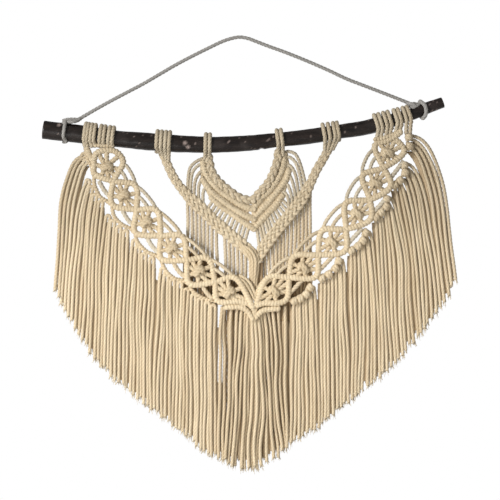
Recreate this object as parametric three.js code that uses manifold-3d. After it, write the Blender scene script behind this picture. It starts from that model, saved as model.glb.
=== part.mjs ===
// A macrame wall hanging: beige cotton cord knotted on a dark, gently bowed branch, with a
// grey cord to hang it by. Millimetres, +X right, +Y towards the wall, +Z up. The origin is
// the hang point, where the grey cord bears on its nail or hook.
//
// The layers, front to back: the two knotted arms of the big V, then the fringe that falls
// from their outer edge, level with the small chevron and its two braids, then the long cords
// that fall from the braids behind everything. Layers clear each other by the seat gap.
import * as THREE from 'three';
import { mergeVertices } from 'three/addons/utils/BufferGeometryUtils.js';
import Module from 'manifold-3d';

const wasm = await Module();
wasm.setup();

// ---- driving dimensions -------------------------------------------------------------------

const SEAT_GAP = 0.3; // clearance between neighbouring pieces
const CORD = 4.4; // width of a beige cord where it is pulled straight
const HANGER_RADIUS = 2.1;
const BRANCH_SIDES = 10;
const WRAP_THICKNESS = 4.4; // how far a cord stands out from the bark it wraps
const WRAP_PAIR_HALF = 4.2; // half the width of a pair of cords round the branch
const WRAP_GAP = 0.5; // between the bark and a cord looped round it
const LEG_HALF_DEPTH = 2.4;
const LEG_DROP = 3; // a leg starts this far outside the bark

const BAND = { middle: -7, halfDepth: 4, halfWidth: 4.1, ridge: 1.4, pitch: 9.6 };
const PANEL = { middle: 0.3, halfDepth: 3, halfWidth: 4.1, ridge: 1.2, pitch: 9.6 };
const FRINGE = { middle: -0.2, halfDepth: 2.5, ridge: 0, pitch: 26 };
const BACK = { middle: 5.9, halfDepth: 2.2, ridge: 0, pitch: 30 };
const EDGE_HALF_WIDTH = 3; // of the strip that carries a fringe

const STRAND_GAP = 0.6; // left between two fringe cords that hang side by side
const STRAND_SUNK = 0.3; // a fringe cord lies this much inside the faces of its strip
const LONG_SETTLE = 9.4; // a fringe cord that needs this fall or more to hang straight is bent
const BENT_FULLNESS = [0.45, 0.6, 0.8, 1, 1]; // share of a bent cord's width, root to tip
const STRAIGHT_FULLNESS = [0.45, 0.8, 1];
const FLOWER = { knotRadius: 5.4, spokeHalfWidth: 1.9, depth: 5 };
const SPOKE_PLACES = [0.28, 0.72]; // where two spokes meet each side of a diamond
const FLOAT_BULGE = 4.5; // how far the loose cords beside each crossing bow out
const HITCH_RADIUS = 2.2;
const SEAM_X = 17.7; // where the two arms of the V meet
const CHEVRON_SEAM_X = 15; // where the two halves of the chevron meet

// The branch's centre line and radius, left to right.
const branchRows = [
  { x: -220, z: -101.5, radius: 10.8 },
  { x: -176, z: -107, radius: 10.5 },
  { x: -136, z: -112, radius: 9.7 },
  { x: -101, z: -115, radius: 10.3 },
  { x: -64, z: -117.5, radius: 9.9 },
  { x: -30, z: -118.5, radius: 9.3 },
  { x: 11, z: -116.5, radius: 9.2 },
  { x: 39, z: -113.5, radius: 8.6 },
  { x: 89, z: -107.5, radius: 8.8 },
  { x: 113, z: -103.5, radius: 8.2 },
  { x: 146, z: -98, radius: 8.7 },
  { x: 190, z: -85, radius: 7.1 },
  { x: 209, z: -77.5, radius: 6.9 },
  { x: 227, z: -71, radius: 6.2 },
];

// The grey hanger cord's centre line, from its left hitch over the hang point to its right one.
const hangerRoute = [
  [-180, -89.5], [-162, -79], [-144, -69], [-126, -59.5], [-108, -50], [-90, -39.5], [-72, -29],
  [-54, -19.5], [-36, -10.5], [-19, -2.5], [-8, 1], [0, 2.1], [9, 0.6], [20, -3.5], [33, -8.5],
  [47, -13.5], [65, -20.5], [83, -28], [101, -36], [119, -44.5], [137, -51.5], [154, -58],
  [172, -65], [188.5, -71.5],
];

// Each arm of the V is six diamonds in a row. A row gives the top crossing of a diamond and
// its two side corners: inner is the side towards the chevron, outer the side of the fringe.
const armLeft = [
  { cross: [-155.5, -125.5], inner: [-130.5, -139], outer: [-163, -150.5] },
  { cross: [-141, -159.5], inner: [-117, -164], outer: [-142.5, -185.5] },
  { cross: [-115.5, -191], inner: [-93, -192], outer: [-117, -216.5] },
  { cross: [-88.5, -220.5], inner: [-64.5, -221], outer: [-88, -246] },
  { cross: [-59.5, -247.5], inner: [-36, -246], outer: [-56.5, -273.5] },
  { cross: [-28, -272], inner: [-6.5, -267], outer: [-25, -293] },
];
const armRight = [
  { cross: [172.5, -107.5], inner: [150.5, -123], outer: [183.5, -126.5] },
  { cross: [160.5, -144.5], inner: [137, -153], outer: [168.5, -164.5] },
  { cross: [145, -180], inner: [118.5, -183.5], outer: [146, -201.5] },
  { cross: [118.5, -213], inner: [92, -214.5], outer: [117.5, -237] },
  { cross: [87.5, -242], inner: [60.5, -243.5], outer: [85, -266] },
  { cross: [55, -267], inner: [31.5, -267], outer: [52.5, -290.5] },
];
const tip = [SEAM_X, -299];
// The second bar, under the point of the V, from its ends down to the seam.
const lowerBarLeft = [[-21, -300.5], [3, -303.5], [12, -307.5], [SEAM_X + 1, -313]];
const lowerBarRight = [[49, -297.5], [33, -302], [24, -307], [SEAM_X - 1, -313]];

// Pairs of cord looped over the branch: where each stands, and where its two cords land.
const bandLoopsLeft = [
  { x: -172, lands: [-166.5, -143] },
  { x: -164.5, lands: [-160, -137] },
  { x: -154.5, lands: [-153, -127] },
  { x: -144.5, lands: [-146, -130] },
];
const bandLoopsRight = [
  { x: 155, lands: [156, -119] },
  { x: 165, lands: [165, -113] },
  { x: 177, lands: [176, -111] },
  { x: 187, lands: [183, -119] },
];
const chevronLoopLeft = { x: -36, lands: [-37, -137] };
const chevronLoopRight = { x: 44.5, lands: [46, -130] };
const braidLoopsLeft = [{ x: -90.5, lands: [-85.5, -132] }, { x: -82, lands: [-83.5, -134] }];
const braidLoopsRight = [{ x: 97, lands: [97.5, -126] }, { x: 107, lands: [101.5, -125] }];

// The chevron's inner chain and its three bars, each from its upper end down past the seam.
const chevronLeft = [
  [[-35.5, -131], [-32, -147.5], [-27.5, -155.5], [-20.5, -163], [-12.5, -169.5], [-4.5, -175.5],
    [4, -179.5], [17, -186]],
  [[-42, -135], [-37, -153], [-28.5, -164], [-19.5, -172], [-8, -179.5], [4.5, -187.5],
    [17, -197]],
  [[-43, -154.5], [-37, -164.5], [-29, -173.5], [-19.5, -181], [-8.5, -189], [1, -195],
    [17, -205.5]],
  [[-34, -176], [-28.5, -180.5], [-19.5, -188.5], [-8, -196], [1.5, -203], [17, -217.5]],
];
const chevronRight = [
  [[42.5, -124], [42.5, -134], [40, -142], [37, -150.5], [32, -160.5], [25, -169], [13, -179.5]],
  [[50, -127.5], [49.5, -137], [47, -147.5], [43, -156], [38, -163.5], [33, -170], [26, -176.5],
    [13, -190.5]],
  [[54.5, -146.5], [53, -155], [48.5, -163], [44, -169], [38.5, -175.5], [33, -182.5],
    [26, -189.5], [13, -205]],
  [[48.5, -174.5], [43, -182], [38.5, -188.5], [32, -195], [26, -201.5], [13, -216]],
];

// The flat braids that run under the chevron, narrow above and wide below.
const braidWidth = { neck: 4.4, flat: 6 };
const braidLeft = {
  neck: [[-86, -129], [-80.5, -142], [-73, -157], [-62, -171.5]],
  flat: [[-62, -171.5], [-46, -187], [-29, -204], [-8, -222], [6.5, -234], [14, -243]],
};
const braidRight = {
  neck: [[101, -120], [94, -133], [86, -146.5], [78, -163.5]],
  flat: [[78, -163.5], [68.5, -180.5], [57, -195.5], [41.5, -214], [31, -228], [22.5, -240]],
};
// The bundle that gathers the braids' cords at the seam and fans out behind the V's point.
const bundleRows = [
  { x: 15.5, z: -238, half: 4.4 }, { x: 15.7, z: -258, half: 4.4 }, { x: 17.6, z: -291, half: 1.8 },
];

// Loose cords arch from the chevron's side to the braid, and short ones ladder across below.
const ARCHES = 5;
const RUNGS = 6;
const archesLeft = { from: [[-42, -136], [-33, -177]], to: [[-60.5, -170], [-44, -186]], bulge: 8 };
const archesRight = { from: [[51, -129], [47.5, -175]], to: [[76, -164], [64, -184]], bulge: 8 };

// The fringe. An edge row is a point of the knotted edge that the cords leave; a group row is
// the cords between two such points, and the span of x over which they fall.
const edgeLeft = [
  [-174, -124.5], [-164.5, -151], [-144, -187.5], [-118, -219], [-89, -248.5], [-57.5, -275.5],
  [-26, -295.5],
];
const groupsLeft = [
  { cords: 8, from: -208, to: -171 },
  { cords: 5, from: -166, to: -148 },
  { cords: 5, from: -143, to: -122.5 },
  { cords: 6, from: -117.5, to: -91 },
  { cords: 6, from: -86, to: -59.5 },
  { cords: 6, from: -54.5, to: -27.5 },
];
const edgeRight = [
  [191.5, -100], [185, -130], [169.5, -167], [147.5, -204], [118, -239.5], [85.5, -269],
  [52.5, -293.5],
];
const groupsRight = [
  { cords: 10, from: 241.5, to: 194 },
  { cords: 4, from: 188.5, to: 173.5 },
  { cords: 5, from: 168.5, to: 150 },
  { cords: 6, from: 145, to: 119.5 },
  { cords: 6, from: 114.5, to: 89.5 },
  { cords: 6, from: 84.5, to: 58 },
];
const edgeCentre = [[-22, -303], [SEAM_X, -315], [54, -300]];
const groupsCentre = [
  { cords: 8, from: -21, to: 15 },
  { cords: 8, from: 20, to: 53 },
];
const backCordsLeft = { cords: 13, from: -59, to: 6 };
const backCordsRight = { cords: 11, from: 28, to: 79 };
const backGap = { from: -24, to: -19 }; // no back cord falls here

// The hem: how low the fringe reaches at each x.
const hemRows = [
  { x: -212, z: -272 }, { x: -192, z: -309 }, { x: -162, z: -359.5 }, { x: -123, z: -395 },
  { x: -84, z: -424.5 }, { x: -39, z: -462 }, { x: 0, z: -479.5 }, { x: 24, z: -479.5 },
  { x: 50, z: -458 }, { x: 82, z: -438 }, { x: 117, z: -410 }, { x: 168, z: -368.5 },
  { x: 201, z: -331.5 }, { x: 224, z: -303.5 }, { x: 246, z: -260 },
];
const BACK_SHORTER = 9; // the back cords end this much above the hem

// ---- small helpers ------------------------------------------------------------------------

const mix = (a, b, t) => a + (b - a) * t;
const mixPoint = (a, b, t) => [mix(a[0], b[0], t), mix(a[1], b[1], t)];
const middleOf = (...points) => [
  points.reduce((sum, point) => sum + point[0], 0) / points.length,
  points.reduce((sum, point) => sum + point[1], 0) / points.length,
];

/** The value of a column at x, straight between the rows of a table sorted by x. */
function lookUp(rows, x, column) {
  let i = rows.findIndex((row) => row.x > x);
  if (i < 0) i = rows.length - 1;
  i = Math.max(i, 1);
  const [a, b] = [rows[i - 1], rows[i]];
  const t = Math.min(Math.max((x - a.x) / (b.x - a.x), 0), 1);
  return mix(a[column], b[column], t);
}

/** Points [x, z] spaced evenly on a smooth curve through the given ones, in a layer at y. */
function smooth(points, y, spacing) {
  const curve = new THREE.CatmullRomCurve3(
    points.map(([x, z]) => new THREE.Vector3(x, y, z)), false, 'centripetal');
  return curve.getSpacedPoints(Math.max(2, Math.round(curve.getLength() / spacing)));
}

/** A point part of the way along a polyline of [x, z] points. */
function along(points, t) {
  const curve = new THREE.CurvePath();
  for (let i = 1; i < points.length; i += 1) {
    curve.add(new THREE.LineCurve3(
      new THREE.Vector3(points[i - 1][0], 0, points[i - 1][1]),
      new THREE.Vector3(points[i][0], 0, points[i][1])));
  }
  const point = curve.getPointAt(t);
  return [point.x, point.z];
}

/**
 * A closed solid swept through Vector3 points that lie more or less in the sheet's plane.
 * section(i) lists the points of ring i, [across, depth], counter-clockwise.
 */
function sweep(points, section) {
  const position = [];
  const index = [];
  const sides = section(0).length;
  points.forEach((point, i) => {
    const ahead = points[Math.min(i + 1, points.length - 1)];
    const behind = points[Math.max(i - 1, 0)];
    const run = Math.hypot(ahead.x - behind.x, ahead.z - behind.z);
    const across = [-(ahead.z - behind.z) / run, (ahead.x - behind.x) / run];
    section(i).forEach(([u, v]) => {
      position.push(point.x + across[0] * u, point.y + v, point.z + across[1] * u);
    });
  });
  for (let i = 0; i < points.length - 1; i += 1) {
    for (let j = 0; j < sides; j += 1) {
      const a = i * sides + j;
      const b = i * sides + ((j + 1) % sides);
      index.push(a, a + sides, b + sides, a, b + sides, b);
    }
  }
  const last = (points.length - 1) * sides;
  for (let j = 1; j < sides - 1; j += 1) {
    index.push(0, j, j + 1, last, last + j + 1, last + j);
  }
  const geometry = new THREE.BufferGeometry();
  geometry.setAttribute('position', new THREE.Float32BufferAttribute(position, 3));
  geometry.setIndex(index);
  return geometry;
}

/** Turns a closed three.js geometry into a solid that can be joined and cut. */
function solid(geometry) {
  const plain = geometry.clone();
  plain.deleteAttribute('normal');
  plain.deleteAttribute('uv');
  const merged = mergeVertices(plain, 1e-4);
  return new wasm.Manifold(new wasm.Mesh({
    numProp: 3,
    vertProperties: new Float32Array(merged.getAttribute('position').array),
    triVerts: new Uint32Array(merged.getIndex().array),
  }));
}

const join = (solids) => solids.reduce((whole, piece) => whole.add(piece));

/** A round or many-sided section. */
function roundSection(radius, sides) {
  return Array.from({ length: sides }, (_, j) => {
    const angle = (2 * Math.PI * j) / sides;
    return [radius * Math.cos(angle), radius * Math.sin(angle)];
  });
}

/** A plain cord through [x, z] points: three sides, one edge to the front. */
function cord(points, layer, width = CORD) {
  const spine = points.map(([x, z]) => new THREE.Vector3(x, layer.middle, z));
  const depth = layer.halfDepth;
  return solid(sweep(spine, () => [[0, -depth], [width / 2, depth], [-width / 2, depth]]));
}

/** A ridged bar of hitches: its front rises and falls along it, and its sides stand square. */
function bar(points, layer, halfWidth = layer.halfWidth) {
  const spine = smooth(points, layer.middle, layer.pitch / 2);
  const back = layer.halfDepth;
  return solid(sweep(spine, (i) => {
    const front = i % 2 === 1 ? -back : layer.ridge - back;
    return [[halfWidth, front], [halfWidth, back], [-halfWidth, back], [-halfWidth, front]];
  }));
}

// ---- the branch and what wraps it ---------------------------------------------------------

/** The branch, or, grown by a clearance, the space that it needs. */
function branchShape(clearance) {
  const spine = branchRows.map((row) => new THREE.Vector3(row.x, 0, row.z));
  return sweep(spine, (i) => roundSection(branchRows[i].radius + clearance, BRANCH_SIDES));
}

const branchSpace = solid(branchShape(SEAT_GAP));

/** A ring of cord square to the branch at x, seated on the bark. */
function wrapRing(x, profile) {
  const radius = lookUp(branchRows, x, 'radius');
  const run = 8;
  const rise = lookUp(branchRows, x + run / 2, 'z') - lookUp(branchRows, x - run / 2, 'z');
  const outline = profile(radius + WRAP_GAP, radius + WRAP_THICKNESS);
  const ring = new THREE.LatheGeometry(outline.map(([r, a]) => new THREE.Vector2(r, a)), BRANCH_SIDES);
  ring.rotateZ(-Math.PI / 2);
  ring.rotateY(-Math.atan2(rise, run));
  ring.translate(x, 0, lookUp(branchRows, x, 'z'));
  return solid(ring);
}

const pairProfile = (inside, outside) => [
  [inside, -WRAP_PAIR_HALF], [outside, -WRAP_PAIR_HALF * 0.7], [outside - 1.3, 0],
  [outside, WRAP_PAIR_HALF * 0.7], [inside, WRAP_PAIR_HALF], [inside, -WRAP_PAIR_HALF],
];
const singleProfile = (inside, outside) => [
  [inside, -HITCH_RADIUS], [outside - 1, -HITCH_RADIUS], [outside, 0],
  [outside - 1, HITCH_RADIUS], [inside, HITCH_RADIUS], [inside, -HITCH_RADIUS],
];

/** A pair of cords looped over the branch, and the stretch down to where it lands. */
function loopWithLegs({ x, lands }, layer) {
  const radius = lookUp(branchRows, x, 'radius') + LEG_DROP;
  const near = Math.max(Math.abs(layer.middle) - LEG_HALF_DEPTH, 0);
  const under = [x, lookUp(branchRows, x, 'z') - Math.sqrt(radius ** 2 - near ** 2)];
  const legLayer = { middle: layer.middle, halfDepth: LEG_HALF_DEPTH };
  return join([wrapRing(x, pairProfile), cord([under, lands], legLayer, 2 * WRAP_PAIR_HALF - 0.8)]);
}

/** The left hitch: one turn round the branch, then the cord lies along the bark and rises. */
function hitchLeft() {
  const [start, next] = hangerRoute;
  const length = Math.hypot(next[0] - start[0], next[1] - start[1]);
  const end = mixPoint(start, next, (-2.5 * SEAT_GAP) / length);
  const lying = smooth([[-197, -91.3], [-187, -91.9], end], 0, 5);
  return join([
    wrapRing(-196, singleProfile),
    solid(sweep(lying, () => roundSection(HITCH_RADIUS, 6))),
  ]);
}

/** The right hitch: a knot on top of the branch and one turn round it. */
function hitchRight() {
  const end = hangerRoute[hangerRoute.length - 1];
  const knot = smooth([[end[0] + SEAT_GAP + 0.2, -73.2], [195, -73.6], [202, -71.5]], 0, 3.5);
  const swell = [2.6, 3.6, 3, 3.6, 2.6];
  return join([
    wrapRing(204.5, singleProfile),
    solid(sweep(knot, (i) => roundSection(swell[i % swell.length], 6))),
  ]);
}

/** The grey cord that the piece hangs by. */
function hangerCord() {
  const route = new THREE.CatmullRomCurve3(
    hangerRoute.map(([x, z]) => new THREE.Vector3(x, 0, z)), false, 'centripetal');
  const outline = new THREE.Shape(
    roundSection(HANGER_RADIUS, 8).map(([u, v]) => new THREE.Vector2(u, v)));
  return new THREE.ExtrudeGeometry(outline, { steps: 40, extrudePath: route, curveSegments: 1 });
}

// ---- the arms of the V --------------------------------------------------------------------

/** The knot at the middle of a diamond with eight cords spread from it to the bars. */
function flower(corners) {
  const centre = middleOf(...corners);
  const ends = corners.flatMap((corner, i) => SPOKE_PLACES.map(
    (t) => mixPoint(corner, corners[(i + 1) % corners.length], t)));
  const directions = ends.map((end) => new THREE.Vector2(end[0] - centre[0], end[1] - centre[1]));
  const turn = Math.sign(directions[0].cross(directions[1]));
  const outline = directions.flatMap((reach, i) => {
    const ahead = reach.clone().normalize();
    const aside = new THREE.Vector2(-ahead.y, ahead.x).multiplyScalar(turn * FLOWER.spokeHalfWidth);
    const between = directions[(i + 1) % directions.length].clone().normalize().add(ahead);
    return [
      reach.clone().sub(aside), reach.clone().add(aside), between.setLength(FLOWER.knotRadius),
    ];
  });
  const shape = new THREE.Shape(outline);
  const star = new THREE.ExtrudeGeometry(shape, { depth: FLOWER.depth, bevelEnabled: false });
  star.rotateX(Math.PI / 2);
  star.translate(centre[0], BAND.middle + FLOWER.depth / 2, centre[1]);
  return solid(star);
}

/** Two loose cords beside a crossing, bowed away from it, between the corners a and b. */
function floats(crossing, a, b) {
  const middle = middleOf(a, b);
  const away = [middle[0] - crossing[0], middle[1] - crossing[1]];
  const reach = Math.hypot(...away);
  const bowed = (share) => [
    crossing[0] + (away[0] * share * (reach + FLOAT_BULGE)) / reach,
    crossing[1] + (away[1] * share * (reach + FLOAT_BULGE)) / reach,
  ];
  const layer = { middle: BAND.middle, halfDepth: BAND.halfDepth - 1.6 };
  return [1, 0.56].map((share) => cord([
    mixPoint(crossing, a, share), bowed(share), mixPoint(crossing, b, share),
  ], layer, CORD - 0.8));
}

/** One arm: two bars that wind down past each other, the flowers, the floats, the loops. */
function arm(rows, loops, lowerBar) {
  const winding = (first, second) => rows.flatMap(
    (row, i) => [row.cross, row[i % 2 === 0 ? first : second]]).concat([tip]);
  const pieces = [
    bar(winding('inner', 'outer'), BAND),
    bar(winding('outer', 'inner'), BAND),
    bar(lowerBar, BAND),
    ...loops.map((loop) => loopWithLegs(loop, BAND)),
  ];
  rows.forEach((row, i) => {
    const next = rows[i + 1];
    pieces.push(flower([row.cross, row.inner, next ? next.cross : tip, row.outer]));
    if (next) {
      pieces.push(...floats(next.cross, row.inner, next.inner));
      pieces.push(...floats(next.cross, row.outer, next.outer));
    }
  });
  return join(pieces);
}

// ---- the chevron and its braids -----------------------------------------------------------

/** The space that a bar along the points takes up, with a clearance all round. */
function barSpace(points, layer, halfWidth) {
  const u = halfWidth + SEAT_GAP;
  const v = layer.halfDepth + SEAT_GAP;
  const spine = smooth(points, layer.middle, layer.pitch / 2);
  const longer = (end, inner) => end.add(end.clone().sub(inner).setLength(SEAT_GAP));
  longer(spine[0], spine[1]);
  longer(spine[spine.length - 1], spine[spine.length - 2]);
  return solid(sweep(spine, () => [[u, -v], [u, v], [-u, v], [-u, -v]]));
}

/** The bundle below the braids, or, grown by a clearance, the space that it needs. */
function bundle(clearance) {
  const spine = bundleRows.map((row) => new THREE.Vector3(row.x, PANEL.middle, row.z));
  spine[0].z += clearance;
  spine[spine.length - 1].z -= clearance;
  const depth = PANEL.halfDepth + clearance;
  const shoulder = PANEL.halfDepth / 2 + clearance;
  return solid(sweep(spine, (i) => {
    const half = bundleRows[i].half + clearance;
    return [[0, -depth], [half, -shoulder], [half, depth], [-half, depth], [-half, -shoulder]];
  }));
}

function braid({ neck, flat }, loops) {
  return join([
    bar(neck, PANEL, braidWidth.neck),
    bar(flat, PANEL, braidWidth.flat),
    ...loops.map((loop) => loopWithLegs(loop, PANEL)),
  ]);
}

/** Half of the chevron: chain, bars, arches and rungs, trimmed to clear its braid. */
function chevron(strips, loop, arches, braidLine) {
  const pieces = strips.map((points) => bar(points, PANEL));
  pieces.push(loopWithLegs(loop, PANEL));
  const looseLayer = { middle: PANEL.middle, halfDepth: PANEL.halfDepth - 0.8 };
  for (let i = 0; i < ARCHES; i += 1) {
    const t = i / (ARCHES - 1);
    const from = mixPoint(...arches.from, t);
    const to = mixPoint(...arches.to, t);
    const side = Math.sign(to[0] - from[0]);
    const bow = [mix(from[0], to[0], 0.62) + side * arches.bulge * 0.45 * (1 - t),
      mix(from[1], to[1], 0.38) + arches.bulge * 0.45 * (1 - t)];
    pieces.push(cord([from, bow, to], looseLayer, CORD - 1));
  }
  const lowest = strips[strips.length - 1];
  for (let i = 0; i < RUNGS; i += 1) {
    const t = 0.1 + (0.82 * i) / (RUNGS - 1);
    pieces.push(cord([along(lowest, t), along(braidLine, 0.12 + 0.76 * t)], looseLayer, CORD - 0.6));
  }
  return join(pieces);
}

// ---- the fringe ---------------------------------------------------------------------------

/** The centre line of a fringe cord that leaves the edge at root and settles to hang at x. */
function fallLine(root, x, settle, bottom) {
  if (settle < LONG_SETTLE) return [root, [x, root[1] - 2 * settle], [x, bottom]];
  const bend = [0, 0.4, 1.1].map((drop) => [
    mix(x, root[0], Math.exp(-1.15 * drop)), root[1] - drop * settle,
  ]);
  return [...bend, [x, root[1] - 3 * settle], [x, bottom]];
}

/** A fringe: a knotted strip along the edge, with cords that stand apart below it. */
function fringe(edge, groups) {
  const pieces = [bar(edge, FRINGE, EDGE_HALF_WIDTH)];
  groups.forEach((group, g) => {
    const pitch = Math.abs(group.to - group.from) / (group.cords - 1);
    const width = Math.min(CORD, pitch - STRAND_GAP);
    const rootAt = (i) => mixPoint(edge[g], edge[g + 1], (i + 0.5) / group.cords);
    const settle = 4 + 0.9 * Math.abs(group.from - rootAt(0)[0]);
    for (let i = 0; i < group.cords; i += 1) {
      const x = mix(group.from, group.to, i / (group.cords - 1));
      const line = fallLine(rootAt(i), x, settle, lookUp(hemRows, x, 'z'));
      const spine = line.map(([px, pz]) => new THREE.Vector3(px, FRINGE.middle, pz));
      const fullness = line.length > 3 ? BENT_FULLNESS : STRAIGHT_FULLNESS;
      pieces.push(solid(sweep(spine, (k) => {
        const half = (width / 2) * fullness[k];
        const depth = FRINGE.halfDepth - STRAND_SUNK;
        return [[0, -depth], [half, depth], [-half, depth]];
      })));
    }
  });
  return join(pieces);
}

/** The long cords that fall from a braid, behind the V, with the strip that carries them. */
function backFringe(line, { cords, from, to }) {
  const pieces = [bar(line, BACK, EDGE_HALF_WIDTH)];
  const byX = line.map(([x, z]) => ({ x, z })).sort((a, b) => a.x - b.x);
  for (let i = 0; i < cords; i += 1) {
    const x = mix(from, to, i / (cords - 1));
    if (x < backGap.from || x > backGap.to) {
      const bottom = lookUp(hemRows, x, 'z') + BACK_SHORTER;
      const layer = { ...BACK, halfDepth: BACK.halfDepth - 0.2 };
      pieces.push(cord([[x, lookUp(byX, x, 'z')], [x, bottom]], layer, CORD - 0.4));
    }
  }
  return join(pieces);
}

// ---- the whole piece ----------------------------------------------------------------------

const group = new THREE.Group();
const cotton = { color: 0xd9c4a0, roughness: 0.95, metalness: 0 };

function addMesh(name, shape, finish) {
  let geometry = shape;
  if (shape instanceof wasm.Manifold) {
    const mesh = shape.getMesh();
    geometry = new THREE.BufferGeometry();
    geometry.setAttribute('position', new THREE.BufferAttribute(mesh.vertProperties, 3));
    geometry.setIndex(new THREE.BufferAttribute(mesh.triVerts, 1));
  }
  const material = new THREE.MeshStandardMaterial({ ...finish, flatShading: true });
  const mesh = new THREE.Mesh(geometry, material);
  mesh.name = name;
  group.add(mesh);
}

/** Everything on one side of the seam, half a seat gap clear of it. */
function sideOfSeam(shape, seam, side) {
  const reach = 400;
  const box = new THREE.BoxGeometry(reach, reach, 2 * reach);
  box.translate(seam - side * (reach / 2 - SEAT_GAP / 2), 0, -reach / 2);
  return shape.subtract(solid(box));
}

const spaceOfBraidLeft = join([
  barSpace(braidLeft.neck, PANEL, braidWidth.neck),
  barSpace(braidLeft.flat, PANEL, braidWidth.flat),
  bundle(SEAT_GAP),
]);
const spaceOfBraidRight = join([
  barSpace(braidRight.neck, PANEL, braidWidth.neck),
  barSpace(braidRight.flat, PANEL, braidWidth.flat),
]);
const braidSpace = spaceOfBraidLeft.add(spaceOfBraidRight);

addMesh('branch', branchShape(0), { color: 0x2e2622, roughness: 0.8, metalness: 0 });
addMesh('hanger_cord', hangerCord(), { color: 0xa9a49a, roughness: 0.95, metalness: 0 });
addMesh('hitch_left', hitchLeft().subtract(branchSpace), { color: 0xa9a49a, roughness: 0.95 });
addMesh('hitch_right', hitchRight().subtract(branchSpace), { color: 0xa9a49a, roughness: 0.95 });
addMesh('arm_left', sideOfSeam(arm(armLeft, bandLoopsLeft, lowerBarLeft), SEAM_X, -1), cotton);
addMesh('arm_right', sideOfSeam(arm(armRight, bandLoopsRight, lowerBarRight), SEAM_X, 1), cotton);
const halfLeft = chevron(chevronLeft, chevronLoopLeft, archesLeft, braidLeft.flat);
const halfRight = chevron(chevronRight, chevronLoopRight, archesRight, braidRight.flat);
addMesh('chevron_left', sideOfSeam(halfLeft, CHEVRON_SEAM_X, -1).subtract(braidSpace), cotton);
addMesh('chevron_right', sideOfSeam(halfRight, CHEVRON_SEAM_X, 1).subtract(braidSpace), cotton);
addMesh('braid_left', braid(braidLeft, braidLoopsLeft).add(bundle(0)), cotton);
addMesh('braid_right', braid(braidRight, braidLoopsRight).subtract(spaceOfBraidLeft), cotton);
addMesh('fringe_left', fringe(edgeLeft, groupsLeft), cotton);
addMesh('fringe_right', fringe(edgeRight, groupsRight), cotton);
addMesh('fringe_centre', fringe(edgeCentre, groupsCentre), cotton);
addMesh('back_fringe_left', backFringe(braidLeft.flat, backCordsLeft), cotton);
addMesh('back_fringe_right', backFringe(braidRight.flat, backCordsRight), cotton);

export default group;
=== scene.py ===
"""A macrame wall hanging on a branch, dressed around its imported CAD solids.

Tables and lengths are in millimetres in the part's own frame: +X right, +Y towards the wall,
+Z up, with the origin at the hang point. They become metres when a mesh is made.
"""

import math
from types import SimpleNamespace

import bpy
import numpy as np
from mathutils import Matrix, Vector, noise


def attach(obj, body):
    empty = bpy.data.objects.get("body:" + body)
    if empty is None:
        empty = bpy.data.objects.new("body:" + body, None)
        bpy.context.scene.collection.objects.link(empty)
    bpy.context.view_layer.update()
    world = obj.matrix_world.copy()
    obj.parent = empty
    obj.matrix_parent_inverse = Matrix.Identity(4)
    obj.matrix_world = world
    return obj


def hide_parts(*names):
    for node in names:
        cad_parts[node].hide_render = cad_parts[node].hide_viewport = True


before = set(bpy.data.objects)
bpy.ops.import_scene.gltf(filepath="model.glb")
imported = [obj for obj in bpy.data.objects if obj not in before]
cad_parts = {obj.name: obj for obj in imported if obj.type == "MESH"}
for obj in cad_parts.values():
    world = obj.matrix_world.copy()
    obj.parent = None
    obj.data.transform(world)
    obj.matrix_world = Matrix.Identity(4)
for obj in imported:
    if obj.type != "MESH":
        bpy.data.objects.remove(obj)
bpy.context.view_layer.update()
random = np.random.default_rng(29)

MM = 0.001
FRONT = np.array([0.0, -1.0, 0.0])


def placed(name, data):
    """A new object in the scene."""
    made = bpy.data.objects.new(name, data)
    bpy.context.scene.collection.objects.link(made)
    return made


def piece(name, mesh, material, node):
    """A new object that rides on the part and stands for a CAD node."""
    mesh.materials.append(material)
    made = placed(name, mesh)
    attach(made, "root")
    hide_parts(node)
    return made


# ---- the camera ----

PICTURE_X, PICTURE_Z = 0.0112, -0.2363  # metres: the middle of the picture
DISTANCE, PICTURE_WIDTH = 2.6, 0.56  # metres: how far off the camera stands, and what it takes in
SENSOR = 36  # millimetres

camera = placed("camera", bpy.data.cameras.new("camera"))
bpy.context.scene.camera = camera
camera.location = (PICTURE_X, -DISTANCE, PICTURE_Z)
camera.rotation_euler = (math.pi / 2, 0, 0)
camera.data.sensor_width = SENSOR
camera.data.lens = SENSOR * DISTANCE / PICTURE_WIDTH
camera.data.clip_end = 50

# ---- sizes and tables, in millimetres ----

CORD = 2.2  # radius of a beige cord
HITCH = 3.4  # how far along a bar one hitch takes it
BAND_Y, FRINGE_Y, PANEL_Y, BACK_Y = -7.0, -0.4, 0.3, 5.9  # how deep the layers lie

# The branch, as x, z and radius, and the cord that it hangs by.
BRANCH = np.array([
    (-220, -101.5, 10.8), (-176, -107, 10.5), (-136, -112, 9.7), (-101, -115, 10.3),
    (-64, -117.5, 9.9), (-30, -118.5, 9.3), (11, -116.5, 9.2), (39, -113.5, 8.6),
    (89, -107.5, 8.8), (113, -103.5, 8.2), (146, -98, 8.7), (190, -85, 7.1),
    (209, -77.5, 6.9), (227, -71, 6.2)])
HANGER = [
    (-180, -89.5), (-162, -79), (-144, -69), (-126, -59.5), (-108, -50), (-90, -39.5),
    (-72, -29), (-54, -19.5), (-36, -10.5), (-19, -2.5), (-8, 1), (0, 2.1), (9, 0.6),
    (20, -3.5), (33, -8.5), (47, -13.5), (65, -20.5), (83, -28), (101, -36), (119, -44.5),
    (137, -51.5), (154, -58), (172, -65), (188.5, -71.5)]
HANGER_RADIUS = 2.1

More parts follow.
